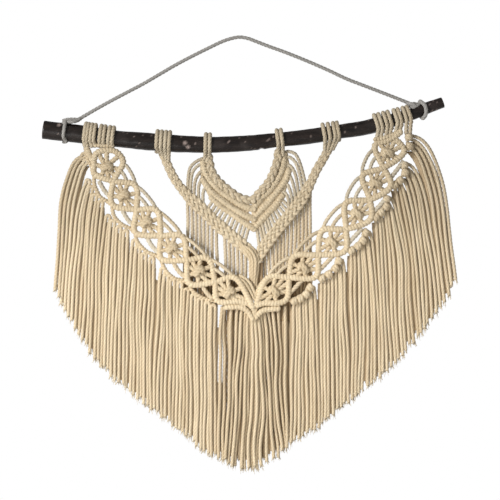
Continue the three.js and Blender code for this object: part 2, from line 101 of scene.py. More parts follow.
# The arms. A row of rows is a diamond's top crossing, its corner towards the chevron and its corner
# towards the fringe. tops brings the two bars down to the first diamond, last brings the outer bar
# to the tip, lower is the short bar below it, head is the bar under the branch, and edges are the
# cords down the outer edge. first_top and shift place the knots. bulge and loose bow the cords
# beside each crossing, and loose is measured from there.
LEFT_ARM = SimpleNamespace(
    outward=-1,
    rows=[
        ((-155.5, -125.5), (-130.5, -139), (-163, -150.5)),
        ((-141, -159.5), (-117, -164), (-142.5, -185.5)),
        ((-115.5, -191), (-93, -192), (-117, -216.5)),
        ((-88.5, -220.5), (-64.5, -221), (-88, -246)),
        ((-59.5, -247.5), (-36, -246), (-56.5, -273.5)),
        ((-28, -272), (-6.5, -267), (-25, -293))],
    tops=([(-163.5, -137), (-160.5, -128.5), (-151, -125), (-141, -125.5), (-133.5, -131)],
          [(-171.5, -122), (-167.5, -131), (-163, -139)]),
    last=[(1.1, -294), (10, -296.8)],
    tip=(15.6, -302),
    lower=[(-17, -300.4), (1.1, -300.4), (8.2, -304.4), (14.6, -313.5)],
    head=[(-162, -119.3), (-152, -119.6), (-142, -119.3)],
    head_half=2.6,
    edges=[
        [(-173, -120), (-172.2, -127), (-169.5, -136), (-165.5, -143.5), (-163, -151)],
        [(-163, -151), (-163, -163), (-160.2, -170), (-156.5, -176.8), (-149.5, -181.5),
         (-143, -186)],
        [(-143, -186), (-141.5, -197), (-137, -203.5), (-130, -209), (-123, -212), (-117.5, -217)],
        [(-117.5, -217), (-115, -226.5), (-109.5, -233.5), (-103, -239), (-95, -242),
         (-88.5, -246.5)],
        [(-88.5, -246.5), (-84.5, -257), (-79, -264), (-72.5, -268.5), (-64, -270.5), (-57, -274)],
        [(-57, -274), (-53.5, -281.5), (-47.5, -286.5), (-40, -290.5), (-32, -292.5), (-25, -294)]],
    first_top=(-154.5, -124.5),
    shift=(-1.3, -0.4),
    bulge=2.8,
    loose=[[(-16.5, 0.5), (-13.4, -5.6), (-9.8, -11.4), (-5.2, -16.4), (-2, -19)]] * 5)
RIGHT_ARM = SimpleNamespace(
    outward=1,
    rows=[
        ((172.5, -107.5), (150.5, -123), (183.5, -126.5)),
        ((160.5, -144.5), (137, -153), (168.5, -164.5)),
        ((145, -180), (118.5, -183.5), (146, -201.5)),
        ((118.5, -213), (92, -214.5), (117.5, -237)),
        ((87.5, -242), (60.5, -243.5), (85, -266)),
        ((55, -267), (31.5, -267), (52.5, -290.5))],
    tops=([(180, -104), (172.5, -109.8), (162.4, -115.3), (152.5, -117)],
          [(170.5, -111), (179, -117.5)]),
    last=[(44, -295.5), (26, -295.8)],
    tip=(17.6, -299),
    lower=[(43.5, -301.8), (34, -302.4), (25.4, -304), (16.8, -312.5)],
    head=[(150.5, -112.5), (158, -111.8), (168, -108.8), (179, -103)],
    head_half=2.8,
    edges=[],
    first_top=(170, -110),
    shift=(-1.2, -1.8),
    bulge=4.5,
    loose=[[(22.5, 8), (19.6, 3.8), (13.4, -4.2), (7.2, -12.6), (5, -17)]]
    + [[(18, 1), (14.3, -3.2), (9.4, -8.5), (4.2, -14.0), (1, -17)]] * 4)
# Where the arms end, and the two cords of the left one that bow down to there. The right arm's are
# the same, turned over about BOW_X and a little wider.
TIP_FOOT = (16.4, -315)
TIP_BOWS = [[(-6, -265.5), (5, -272), (12, -283), (17, -293)],
            [(-1, -264), (9, -270.5), (15, -281), (18, -292)]]
BOW_X, BOW_WIDER = 17.2, 1.11

# A cord that goes over the branch: where it stands, and where it lands.
BAND_CORDS = [
    (-173.6, -173, -121), (-170.6, -170.5, -122), (-166.8, -165, -121.5), (-163, -160.5, -121),
    (-156.4, -155.5, -120.5), (-152.2, -151, -120.5), (-146.8, -146, -120.5),
    (-142.6, -142, -121.5),
    (153.2, 152.5, -113), (157.8, 157, -112.5), (163.2, 162.8, -110.5), (168, 167.2, -109),
    (174.8, 173.6, -106.5), (179.2, 178.4, -104.5), (184.8, 185.6, -106.5), (189.6, 190, -106.5)]
CHEVRON_CORDS = [(-38.4, -39.5, -136), (-33.9, -35, -134), (42.3, 43, -130), (46.9, 48.5, -131)]
BRAID_CORDS = [
    (-93, -89, -129), (-88.4, -86, -132), (-83.6, -82.5, -135), (-79.2, -80, -136),
    (94.2, 95, -128), (100, 97.5, -127), (105.8, 100.5, -126), (109.9, 103.5, -124)]

# The chevron's inner chain, then its three bars.
CHEVRON_LEFT = [
    [(-35.5, -131), (-32, -147.5), (-27.5, -155.5), (-20.5, -163), (-12.5, -169.5),
     (-4.5, -175.5), (4, -179.5), (12, -182)],
    [(-42, -135), (-37, -153), (-28.5, -164), (-19.5, -172), (-8, -179.5), (4.5, -187.5),
     (12.5, -193)],
    [(-43, -154.5), (-37, -164.5), (-29, -173.5), (-19.5, -181), (-8.5, -189), (1, -195),
     (12.5, -202.5)],
    [(-34, -176), (-28.5, -180.5), (-19.5, -188.5), (-8, -196), (1.5, -203), (12.5, -213)]]
CHEVRON_RIGHT = [
    [(42.5, -124), (42.5, -134), (40, -142), (37, -150.5), (32, -160.5), (25, -169), (17.5, -175)],
    [(50, -127.5), (49.5, -137), (47, -147.5), (43, -156), (38, -163.5), (33, -170),
     (26, -176.5), (16.5, -187.5)],
    [(54.5, -146.5), (53, -155), (48.5, -163), (44, -169), (38.5, -175.5), (33, -182.5),
     (26, -189.5), (16.5, -201)],
    [(48.5, -174.5), (43, -182), (38.5, -188.5), (32, -195), (26, -201.5), (16.5, -212)]]

# Where the chevron's halves meet, and the heights of its chain and its bars there.
SEAM_X, CHAIN_TIP, BAR_TIPS = 15.6, -180.6, (-190.8, -202.5, -213.7)

# The looped cords beside the chevron: where each leaves it, its bow, and where it lands.
ARCHES_LEFT = [
    ((-42, -134), (-55, -143), (-58.5, -163)), ((-43.5, -140), (-52.5, -148), (-55.5, -167)),
    ((-43.5, -148.5), (-49.5, -157), (-51.5, -171.5)), ((-42, -156.5), (-46, -164), (-46.5, -177)),
    ((-37.5, -165.5), (-41, -171), (-41.5, -183))]
ARCHES_RIGHT = [
    ((53, -126), (62, -129), (72.5, -160)), ((54.5, -132), (62, -138), (69, -164)),
    ((55.5, -141.5), (61, -149), (65, -169)), ((54.5, -152), (58.5, -159), (61.5, -174)),
    ((52, -162), (55.5, -168), (58, -179)), ((49.5, -171.5), (53, -176), (54.5, -183.5))]

# A braid from the branch down, and then the stretch along which the lattice and the back fringe
# are tied to it.
BRAID_LEFT = ([(-86, -129), (-80.5, -142), (-73, -157), (-62, -171.5)],
              [(-62, -171.5), (-46, -187), (-29, -204), (-8, -222), (6.5, -234), (12, -240)])
BRAID_RIGHT = ([(101, -120), (94, -133), (86, -146.5), (78, -163.5)],
               [(78, -163.5), (68.5, -180.5), (57, -195.5), (41.5, -214), (31, -228),
                (23.5, -239), (17, -249)])

# Where each pair of fringe cords hangs, group by group down the edge: on the left the middle of
# its loop, on the right the round knot that it leaves.
FRINGE_LEFT = [
    [(-174.7, -129.4), (-172.5, -136.6)],
    [(-170.2, -159), (-166.9, -166.3), (-162.4, -175.3), (-155.7, -182.6)],
    [(-147.8, -198.8), (-142.5, -204.4), (-135.5, -211.1), (-127.9, -215.6)],
    [(-118, -226.5), (-114.2, -234.1), (-107.3, -241.4), (-98.6, -245.8)],
    [(-86.2, -257.4), (-82.7, -265.2), (-75.6, -270.5), (-67.2, -273.3)],
    [(-60, -281), (-52, -287), (-44.5, -291.5), (-36.5, -295.5), (-30, -299)]]
FRINGE_RIGHT = [
    [(188.8, -110.1), (189.8, -120.3)],
    [(183.9, -141.6), (184.8, -150.1), (178.8, -158.8), (172.7, -164)],
    [(164.1, -179.4), (163.3, -187.8), (157.5, -194.3), (151.6, -199.7)],
    [(140.8, -217.3), (137.4, -225.9), (132.2, -231.8), (124.3, -236.9)],
    [(110.5, -248.6), (106.7, -256.8), (99.3, -263.5), (91.3, -267.7)],
    [(78.4, -278.5), (73.9, -285.9), (67.2, -290.6), (60.5, -293.4)]]
# The edge that the centre's cords hang from.
EDGE_CENTRE = [(-22, -302), (1, -303.5), (8.2, -307.5), (14.6, -316), (17.7, -317), (25.4, -307),
               (34, -305), (54, -301)]

# Where the hem's first and last cord hang, and how many there are where the pairs don't say it.
SPAN_LEFT, SPAN_RIGHT = (-208, -27.5), (241.5, 58)
SPAN_CENTRE, CENTRE_CORDS = (-24.4, 53), 19
BACK_LEFT, BACK_RIGHT = (-59, 6, 15), (23.5, 79, 14)
BACK_GAP = (-24, -19)  # no cord hangs behind here
# The centre's cords spread this far to both sides of the middle, from roots right of the start.
FAN_MIDDLE, FAN_REACH, FAN_START = 16.5, 38, -19.8

# The cords behind the tip, darkened as painted shade: from where to where, how high they start at
# the tip and at most, and where short ones stand. Along both arms they start higher by the slope.
SHADE_LEFT, SHADE_RIGHT = (-62, 15.5, -288, -200, ()), (19.5, 80, -278, -243, (20.5, 24))
SHADE_STEP, SHADE_X, SHADE_SLOPE = 4.1, 17, 0.72
SHADE_GAP = (-27, -19)  # the arm's fringe and the centre's stand apart here
# Where each one's darker painted shade ends and its lighter painted shade starts, in the gap and
# elsewhere.
GAP_ENDS, SHADE_ENDS = (-297, -385), (-322, -316)

# The line that the cords are cut to.
HEM = np.array([
    (-212, -272), (-192, -309), (-162, -359.5), (-123, -395), (-84, -424.5), (-39, -462),
    (0, -479.5), (24, -479.5), (50, -458), (82, -438), (117, -410), (168, -368.5),
    (201, -331.5), (224, -303.5), (246, -260)])

# ---- curves ----

SWAY_START = 40.0  # how far down a cord its sway is at its full reach


def spline(points, step):
    """Points about step apart on a smooth curve through the given ones."""
    p = np.asarray(points, float)
    if len(p) == 2:
        fine = p
    else:
        t = np.r_[0, np.cumsum(np.sqrt(np.linalg.norm(np.diff(p, axis=0), axis=1)))]
        dt = np.diff(t)[:, None]
        slope = np.diff(p, axis=0) / dt
        inner = (slope[:-1] * dt[1:] + slope[1:] * dt[:-1]) / (dt[:-1] + dt[1:])
        m = np.vstack([slope[:1], inner, slope[-1:]])
        u = np.linspace(0, 1, 12, endpoint=False)[None, :, None]
        a, b = p[:-1, None], p[1:, None]
        ma, mb = m[:-1, None] * dt[:, None], m[1:, None] * dt[:, None]
        fine = (a * (2 * u**3 - 3 * u**2 + 1) + ma * (u**3 - 2 * u**2 + u)
                + b * (3 * u**2 - 2 * u**3) + mb * (u**3 - u**2))
        fine = np.vstack([fine.reshape(-1, p.shape[1]), p[-1:]])
    s = np.r_[0, np.cumsum(np.linalg.norm(np.diff(fine, axis=0), axis=1))]
    even = np.linspace(0, s[-1], max(2, round(s[-1] / step)) + 1)
    return np.column_stack([np.interp(even, s, fine[:, k]) for k in range(p.shape[1])])


def at_depth(points, y):
    """Points (x, z) set at a depth y, which may be one number or one for each point."""
    p = np.asarray(points, float)
    return np.column_stack([p[:, 0], np.broadcast_to(y, len(p)), p[:, 1]])


def unit(v):
    """The vector, or each row of vectors, made one long."""
    return v / np.maximum(np.linalg.norm(v, axis=-1, keepdims=True), 1e-9)


def lengths(path):
    """How far along a path each of its points is."""
    return np.r_[0, np.cumsum(np.linalg.norm(np.diff(path, axis=0), axis=1))]


def across(path):
    """For a path that lies more or less flat: the unit vectors square to it in the sheet."""
    run = unit(np.gradient(path, axis=0))
    return unit(np.cross(run, FRONT))


def sway(path, reach):
    """A gentle sway that neighbouring cords share, with a little of each cord's own."""
    s = lengths(path)
    own = random.uniform(0, 50)
    for p, ease in zip(path, np.clip(s / SWAY_START, 0, 1)):
        shared = noise.noise(Vector((p[0] * 0.045, 0.0, p[2] * 0.014)))
        alone = noise.noise(Vector((own, 7.0, p[2] * 0.03)))
        p[0] += ease * reach * (2.4 * shared + 0.7 * alone)
        p[1] += ease * reach * 0.7 * noise.noise(Vector((own, 3.0, p[2] * 0.03)))
    path[:, 0] += random.normal(0, 0.5) * reach * (s / s[-1]) ** 2


def on_line(points, t):
    """The point at a share t of a polyline's length."""
    p = np.asarray(points, float)
    s = lengths(p)
    return np.array([np.interp(t * s[-1], s, p[:, k]) for k in range(p.shape[1])])


# ---- cords gathered into meshes ----


class Skein:
    """Collects cords and makes them one mesh."""

    def __init__(self):
        self.verts, self.quads, self.tris, self.fibre, self.tone = [], [], [], [], []
        self.count = 0

    def cord(self, path, radius=CORD, turn=13.0, groove=0.86, tone=None, pale=0.0, sides=9,
             painted_shade=0.0):
        """A twisted cord of three plies, which takes turn millimetres to go round once.

        radius and tone may be one for each point. A groove of 1 leaves the cord plain.
        """
        path = np.asarray(path, float)
        n = len(path)
        run = unit(np.gradient(path, axis=0))
        s = lengths(path)
        radius = np.broadcast_to(radius, n).astype(float)
        if tone is None:
            tone = random.normal(0, 1)
        tone = np.broadcast_to(tone, n)

        # a frame that runs along the path without twisting
        side = np.empty_like(path)
        seed = FRONT if abs(run[0, 1]) < 0.9 else np.array([1.0, 0, 0])
        side[0] = unit(seed - run[0] * (seed @ run[0]))
        for i in range(1, n):
            v = side[i - 1] - run[i] * (side[i - 1] @ run[i])
            side[i] = v / np.linalg.norm(v)
        up = np.cross(run, side)

        # one ring of points at each point of the path, and a fan of triangles over each end
        j = np.arange(sides)
        k = (j + 1) % sides
        grooved = j % 3 == 0
        step = j * 2 * math.pi / sides
        angle = step + 2 * math.pi * s[:, None] / turn + random.uniform(0, 6.28)
        shape = np.where(grooved, groove, 1.0) * radius[:, None]
        ring = (path[:, None] + side[:, None] * (shape * np.cos(angle))[..., None]
                + up[:, None] * (shape * np.sin(angle))[..., None])
        self.verts += [ring.reshape(-1, 3), path[:1], path[-1:]]
        first = self.count
        rows = first + np.arange(n - 1)[:, None] * sides
        a, b = rows + j, rows + k
        self.quads.append(np.stack([a, b, b + sides, a + sides], -1).reshape(-1, 4))
        end, last = first + n * sides, first + (n - 1) * sides
        self.tris += [np.column_stack([first + k, first + j, np.full(sides, end)]),
                      np.column_stack([last + j, last + k, np.full(sides, end + 1)])]

        # where each point lies in the untwisted cord, for the fibres, and how light it is, painted
        # shade included
        offset = random.uniform(0, 400)
        along = np.broadcast_to(s[:, None] + offset, shape.shape)
        fibre = np.stack([shape * np.cos(step), shape * np.sin(step), along], -1)
        self.fibre += [fibre.reshape(-1, 3), [(0, 0, s[0] + offset), (0, 0, s[-1] + offset)]]
        # the grooves between the plies are marked, for the material to darken them as painted shade
        deep = np.where(grooved & (groove < 1), 1.0, 0.0)
        shade = np.column_stack([np.repeat(tone, sides), np.full(n * sides, pale), np.tile(deep, n),
                                 np.full(n * sides, painted_shade)])
        self.tone += [shade, [(tone[0], pale, 0.5, painted_shade), (tone[-1], pale, 0.5, painted_shade)]]
        self.count += n * sides + 2

    def object(self, name, material, slot, node):
        """One piece with all the cords so far."""
        mesh = bpy.data.meshes.new(name)
        verts = np.vstack(self.verts) * MM
        quads, tris = np.vstack(self.quads), np.vstack(self.tris)
        mesh.vertices.add(len(verts))
        mesh.vertices.foreach_set("co", verts.ravel())
        corners = np.r_[quads.ravel(), tris.ravel()]
        mesh.loops.add(len(corners))
        mesh.loops.foreach_set("vertex_index", corners)
        starts = np.r_[np.arange(len(quads)) * 4, len(quads) * 4 + np.arange(len(tris)) * 3]
        mesh.polygons.add(len(starts))
        mesh.polygons.foreach_set("loop_start", starts)
        mesh.polygons.foreach_set("use_smooth", np.ones(len(starts), bool))
        fibre = mesh.attributes.new("fibre", "FLOAT_VECTOR", "POINT")
        fibre.data.foreach_set("vector", np.vstack(self.fibre).astype(np.float32).ravel())
        shade = np.vstack(self.tone).astype(np.float32)
        for k, label in enumerate(("tone", "pale", "groove", "painted_shade")):
            values = mesh.attributes.new(label, "FLOAT", "POINT").data
            values.foreach_set("value", shade[:, k].copy())
        mesh.update(calc_edges=True)
        mesh.validate()
        return piece(name, mesh, material, node)


# ---- knots ----


def bar(skein, points, y, half=3.8, deep=3.6, rib=2.7, hand=1, lift=None, shade_tint=0.0):
    """A bar of hitches: a cord wound round a core. lift moves it to and fro along its length."""
    core = spline(at_depth(points, y), 0.35)
    s = lengths(core)
    if lift is not None:
        core[:, 1] += np.interp(s / s[-1], *lift)
    turns = max(2, round(s[-1] / HITCH))
    theta = np.linspace(0, turns * 2 * math.pi, turns * 12 + 1)
    even = np.linspace(0, s[-1], len(theta))
    spine = np.column_stack([np.interp(even, s, core[:, k]) for k in range(3)])
    knots = random.normal(0, 1, turns + 2)
    swell = 1 + 0.1 * np.interp(theta, np.arange(turns + 2) * 2 * math.pi, knots)
    wound = (spine + across(spine) * ((half - rib) * swell * np.cos(theta))[:, None]
             + FRONT * ((deep - rib) * swell * np.sin(theta * hand))[:, None])
    each = np.repeat(random.normal(shade_tint, 1, turns // 2 + 2), 24)[: len(theta)]
    skein.cord(wound, rib, groove=1, sides=7, tone=each)


def ball(skein, place, heading, y):
    """A round knot: two turns of cord, pulled in at both ends, over the cord inside it."""
    half, long, rib = 4.9, 10.2, 2.6
    theta = np.linspace(-0.3 * math.pi, 4.3 * math.pi, 48)
    t = np.linspace(-0.5, 0.5, 48)
    run = unit(np.array([heading[0], 0, heading[1]], float))
    aside = unit(np.cross(run, FRONT))
    reach = (half - rib) * np.sqrt(1 - (1.45 * t) ** 2)
    centre = np.array([place[0], y, place[1]])
    path = (centre + np.outer(t * (long - 1.6 * rib), run)
            + aside * (reach * np.cos(theta))[:, None] + FRONT * (reach * np.sin(theta))[:, None])
    skein.cord(path, rib, turn=12, groove=0.9, pale=0.1)
    inside = centre + np.outer(np.linspace(-0.42, 0.42, 5) * long, run)
    skein.cord(inside, half - rib, sides=6, groove=1)


def plait(skein, spine, strands, half, deep, cycle, radius, pale):
    """A flat plait of an odd number of strands. half may be one number for each point."""
    s = lengths(spine)
    aside = across(spine)
    for k in range(strands):
        t = s / cycle + k / strands
        swing = np.arcsin(0.96 * np.sin(2 * math.pi * t)) / math.asin(0.96)
        over = deep * np.sin((strands - 1) * 2 * math.pi * t)
        path = spine + aside * (half * swing)[:, None] + FRONT * over[:, None]
        skein.cord(path, radius, pale=pale)


def branch_at(x):
    """The height of the branch's middle and its radius."""
    return np.array([np.interp(x, BRANCH[:, 0], BRANCH[:, k]) for k in (1, 2)])


def over_branch(skein, x, land, y, radius=2.45, pale=0.45):
    """A cord from its landing point up the front of the branch, over it and down behind."""
    z, reach = branch_at(x)
    slope = (branch_at(x + 4)[0] - branch_at(x - 4)[0]) / 8
    reach += radius * 0.93
    angle = np.radians(np.arange(-25, 241, 12.0))  # 0 at the front, 90 on top
    high = reach * np.sin(angle)
    ring = np.column_stack([x - slope * high, -reach * np.cos(angle), z + high])
    bottom = np.array([land[0], y, land[1]])
    neck = bottom + (ring[0] - bottom) * np.array([0.55, 0.35, 0.5])
    skein.cord(spline(np.vstack([[bottom, neck], ring]), 1.6), radius, pale=pale)


def flower(skein, corners, shift, swell):
    """The knot in a diamond, over the four cords that run on through it from bar to bar."""
    corners = [np.array(c, float) for c in corners]  # top, one side, bottom, other side
    centre = sum(corners) / 4 + shift
    axis = unit(corners[2] - corners[0])
    wide = np.array([-axis[1], axis[0]])
    if (corners[1] - centre) @ wide < 0:
        wide = -wide

    def place(u, v, y):
        """A point u across and v along the diamond from its centre."""
        p = centre + wide * u + axis * v
        return (p[0], BAND_Y + y, p[1])

    def spoke(a, b, t):
        """A point on the bar from corner a to corner b."""
        p = corners[a] + (corners[b] - corners[a]) * t
        if a == 0:
            p = centre + (p - centre) * swell
        return (p[0], BAND_Y + 0.6, p[1])

    for hand, near in ((1, 1), (-1, 3)):
        for t, u, v in ((0.24, 1.6, 4.5), (0.66, 3.4, 1.8)):
            line = [spoke(0, near, t), place(hand * u, -v, 0.4), place(hand * u * 0.7, 0, 1.0),
                    place(hand * u, v, 0.4), spoke(2, near, t)]
            skein.cord(spline(line, 1.3), CORD + 0.6 * swell, turn=12)
    theta = np.linspace(-0.45 * math.pi, 4.45 * math.pi, 56)
    t = np.linspace(-1, 1, 56)
    line = [place(5.6 * math.cos(a) * (1 - 0.25 * k * k), 3.0 * k + 0.5 * math.sin(2 * a),
                  -1.2 - 3.0 * math.sin(a)) for a, k in zip(theta, t)]
    skein.cord(np.array(line), 2.8, turn=12)


def floats(skein, crossing, a, b, bulge, pale):
    """Two loose cords beside a crossing, bowed away from it, between the corners a and b."""
    crossing, a, b = (np.array(p, float) for p in (crossing, a, b))
    out = unit((a + b) / 2 - crossing)
    for share in (1.0, 0.6):
        ends = [crossing + (p - crossing) * share for p in (a, b)]
        bow = out * bulge * (0.5 + share / 2)
        line = [ends[0], ends[0] * 0.75 + ends[1] * 0.25 + bow * 0.8,
                ends[0] * 0.25 + ends[1] * 0.75 + bow * 0.8, ends[1]]
        depth = BAND_Y + np.array([1.5, -0.4, -0.4, 1.5])
        skein.cord(spline(at_depth(line, depth), 1.8), 2.3, pale=pale)


def arm(skein, a):
    """One arm: two bars that cross between the diamonds, the knots in them and the loose cords."""
    crossings = [row[0] for row in a.rows] + [a.tip]
    for first, hand in ((0, 1), (1, -1)):
        line = list(a.tops[first])
        for i, row in enumerate(a.rows):
            line += [row[0], row[1 + (i + first) % 2]] if i else [row[1 + first]]
        if line[-1] == a.rows[-1][2]:
            line += a.last
        line.append(a.tip)
        bends = np.arange(len(line))
        lift = np.where((bends // 2 + first) % 2, 0.9, -0.9) * (1 - bends % 2)
        bar(skein, line, BAND_Y, hand=hand * a.outward, lift=(np.linspace(0, 1, len(line)), lift))
    bar(skein, a.lower, BAND_Y, half=3.4, hand=a.outward)
    foot = (TIP_FOOT[0] + a.outward, BAND_Y + 0.6, TIP_FOOT[1])
    skein.cord(spline([(a.tip[0], BAND_Y + 1, a.tip[1] + 4), foot], 1.5), 2.7)
    for step, line in enumerate(TIP_BOWS):
        if a.outward > 0:
            line = [(BOW_X + BOW_WIDER * (BOW_X - x), z) for x, z in line]
        skein.cord(spline(at_depth(line, BAND_Y + 1.4 + step), 1.7), 2.1)
    for i, row in enumerate(a.rows):
        top = row[0] if i else a.first_top
        flower(skein, [top, row[1], crossings[i + 1], row[2]], a.shift, 1 if i else 1.25)
        if i + 1 < len(a.rows):
            below = a.rows[i + 1][1]
            floats(skein, crossings[i + 1], row[1], below, a.bulge, 0.75 if i < 2 else 0.25)
            loose = np.array(crossings[i + 1]) + a.loose[i]
            skein.cord(spline(at_depth(loose, BAND_Y + 1.2), 1.8), 2.7, pale=1.0 if i < 3 else 0.2)
    # the edge cords lie deeper, and their lower tone is painted shade
    for line in a.edges:
        bar(skein, line, BAND_Y + 4, half=2.6, deep=2.4, rib=1.8, shade_tint=-2.5)
    bar(skein, a.head, BAND_Y + 0.3, half=a.head_half, rib=2.2)


def chevron(skein, strips, flat, sign, arches):
    """Half of the small V panel: its chain, its bars, the looped cords and the lattice below."""
    seam = SEAM_X - sign * 1.5
    chain = spline(at_depth(strips[0][:-1] + [(seam, CHAIN_TIP)], PANEL_Y - 0.8), 0.9)
    plait(skein, chain, 3, 2.7, 1.2, 25.0, 2.75, pale=0.3)
    for t in np.linspace(0.03, 0.93, 15):  # the cords that the bars are tied over
        line = [on_line(strip, t) for strip in strips]
        skein.cord(spline(at_depth(line, PANEL_Y + 1.4), 2.2), sides=6, groove=1)
    for strip, tip, half in zip(strips[1:], BAR_TIPS, (4.2, 4.1, 3.9)):
        bar(skein, strip[:-1] + [(seam, tip)], PANEL_Y + 0.4 * sign, half=half, deep=3.2, rib=3.1,
            hand=sign)
    behind = [(SEAM_X, 1.6, -183), (SEAM_X - sign, 1.6, -213)]
    skein.cord(spline(behind, 2.0), 2.3, sides=6, groove=1)
    for (ax, az), middle, (bx, bz) in arches:
        line = [(ax - sign * 3, az - 1), (ax, az), middle, (bx, bz), (bx, bz - 7)]
        skein.cord(spline(at_depth(line, [0.8, 0.6, -0.6, 1.2, 2.4]), 1.6), 2.1, pale=0.7)
    for t in np.linspace(0.1, 0.94, 11):
        top, foot = on_line(strips[3], t), on_line(flat, 0.25 + 0.68 * t)
        line = [top, foot + random.normal(0, 0.5, 2)]
        skein.cord(spline(at_depth(line, PANEL_Y + 0.8), 1.8), 2.15, pale=0.6)


# ---- the fringe ----


def hem(x):
    """The height that the cords are cut at."""
    return np.interp(x, HEM[:, 0], HEM[:, 1])


def fray(skein, path):
    """The cut end of a cord: its three plies come apart, with four loose threads between them."""
    end, heading = path[-1], unit(path[-1] - path[-4])
    start = random.uniform(0, 6.28)
    for k in range(7):
        ply = k < 3
        angle = start + k * 2.1
        out = np.array([math.cos(angle), math.sin(angle), 0.0])
        reach = random.uniform(3.0, 5.5) if ply else random.uniform(3.5, 8.5)
        root = end - heading * 2.5 + out * CORD * (0.45 if ply else 0.3)
        bend = out * random.uniform(0.3, 1.4) + random.normal(0, 0.5, 3)
        line = [root, root + heading * reach * 0.5 + bend * 0.4,
                root + heading * reach + bend * 1.5]
        fine = spline(line, 1.8)
        thick, thin = (0.5, 0.2) if ply else (0.2, 0.07)
        width = np.linspace(CORD * thick, CORD * thin, len(fine))
        skein.cord(fine, width, sides=5 if ply else 4, groove=1, pale=0.5)


def fall(root, x, bottom, y, power, early=0.8):
    """The path of a fringe cord: it leaves its root sideways and comes down to its own place."""
    drop = root[1] - bottom
    down = drop * np.linspace(0, 1, 16) ** 2.1
    share = ((down + early) / (drop + early)) ** power
    share = (share - share[0]) / (1 - share[0])
    depth = np.interp(down, [0, 12, drop], [root[2], y, y])
    path = spline(np.column_stack([root[0] + (x - root[0]) * share, depth, root[1] - down]), 1.8)
    sway(path, 1.0)
    return path


def pairs(groups):
    """Each pair of cords: its group, its number there, how many the group has, and its place."""
    return [(g, k, len(group), place)
            for g, group in enumerate(groups) for k, place in enumerate(group)]


def haste(g, k, count):
    """How fast the cords of pair k in group g come to their places: the first pairs first."""
    return (0.22, 0.34)[k] if g == 0 else 0.36 + 0.2 * k / (count - 1)


def under_layer(skein, groups, start, stop):
    """The cords behind a side fringe, darkened as painted shade, which show only through its gaps.
    """
    outward = math.copysign(1, start - stop)
    places = pairs(groups)
    for at, (g, k, count, place) in enumerate(places):
        last = k + 1 == count
        extra = 5 if g == 0 or last else 4
        wide, low = (9.6, 24) if last else (7.2, 6)
        for n in range(extra):
            x = start + (stop - start) * (at + (n + 0.5) / extra) / len(places)
            x += random.uniform(-1.0, 1.0)
            y = FRINGE_Y + 2.6 + 0.5 * (n % 2)
            root = (place[0] + outward * (3.6 - wide * (n + 0.5) / extra),
                    place[1] - (low if n + 1 == extra else 6), y)
            path = fall(root, x, hem(x) + random.uniform(2.5, 9), y, haste(g, k, count))
            width = np.interp(lengths(path), [0, 8], [1.2, CORD])
            skein.cord(path, width, sides=5, groove=1, painted_shade=0.36)


def fan(skein):
    """The centre's cords, which leave the tip close together and spread as they fall."""
    edge = np.array(EDGE_CENTRE, float)
    start, stop = SPAN_CENTRE
    for i in range(CENTRE_CORDS):
        x = start + (stop - start) * i / (CENTRE_CORDS - 1)
        far = (x - FAN_MIDDLE) / FAN_REACH
        top = max(FAN_MIDDLE + FAN_REACH * far * (0.36 + 0.62 * far * far), FAN_START)
        root = (top, np.interp(top, edge[:, 0], edge[:, 1]) + 3, FRINGE_Y - 1.5)
        path = fall(root, x + random.uniform(-0.7, 0.7), hem(x) + random.uniform(-3, 2.5),
                    FRINGE_Y - 1.5 + 2.2 * (i % 2) + random.uniform(-0.3, 0.3), 0.5, early=20.0)
        sway(path, 1.2)
        fray(skein, path)
        skein.cord(path, pale=0.05)


def fringe(skein, groups, start, stop):
    """Cords that hang in pairs from an arm's edge, spread evenly from start to stop at the hem.

    On the left a pair is one cord, hung by a loop. On the right it leaves a round knot.
    """
    outward = math.copysign(1, start - stop)
    places = pairs(groups)
    for at, (g, k, count, place) in enumerate(places):
        legs = []
        for leg in (0, 1):
            x = start + (stop - start) * (2 * at + leg) / (2 * len(places) - 1)
            x += random.uniform(-0.4, 0.4)
            aside = outward * 2.3 * (1 - 2 * leg)
            y = FRINGE_Y + random.uniform(-0.9, 0.5)
            if outward < 0:
                root = (place[0] + aside, place[1] - 2.4, FRINGE_Y - 0.9 - 0.3 * k)
            else:
                root = (place[0] + 1.8 + aside * 0.85, place[1] + (1.6, -1.6)[leg], FRINGE_Y + 0.4)
            legs.append(fall(root, x, hem(x) + random.uniform(-3, 2.5), y, haste(g, k, count),
                             early=4.0 if g and outward < 0 else 0.8))
            fray(skein, legs[-1])
        if outward < 0:
            turn = np.radians(np.arange(0, 181, 22.5))
            loop = np.column_stack([place[0] + outward * 2.4 * np.cos(turn),
                                    np.full(len(turn), root[2] - 0.4),
                                    place[1] - 1.4 + 2.7 * np.sin(turn)])
            line = np.vstack([legs[0][::-1], loop, legs[1]])
            line[1:-1] = line[1:-1] / 2 + (line[:-2] + line[2:]) / 4
            skein.cord(line, pale=0.1)
        else:
            for leg in legs:
                skein.cord(leg, pale=0.1)
    if outward > 0:
        for group in groups:
            way = np.gradient(np.array(group, float), axis=0)
            for place, heading in zip(group, way):
                ball(skein, place, heading, BAND_Y + 2.2)


def back_fringe(skein, edge, start, stop, cords):
    """The cords that hang behind, from a braid's lower edge."""
    edge = np.array(sorted(edge), float)
    for i in range(cords):
        x = start + (stop - start) * i / (cords - 1)
        if BACK_GAP[0] < x < BACK_GAP[1]:
            continue
        top = np.interp(x, edge[:, 0], edge[:, 1])
        bottom = hem(x) + random.uniform(5, 12)
        path = spline([(x, PANEL_Y + 1.5, top + 1), (x, BACK_Y - 1, top - 5), (x, BACK_Y, top - 14),
                       (x, BACK_Y, (top + hem(x)) / 2), (x, BACK_Y, bottom)], 1.8)
        sway(path, 0.8)
        skein.cord(path, pale=0.35 if x < 16 else 0.1)
        fray(skein, path)


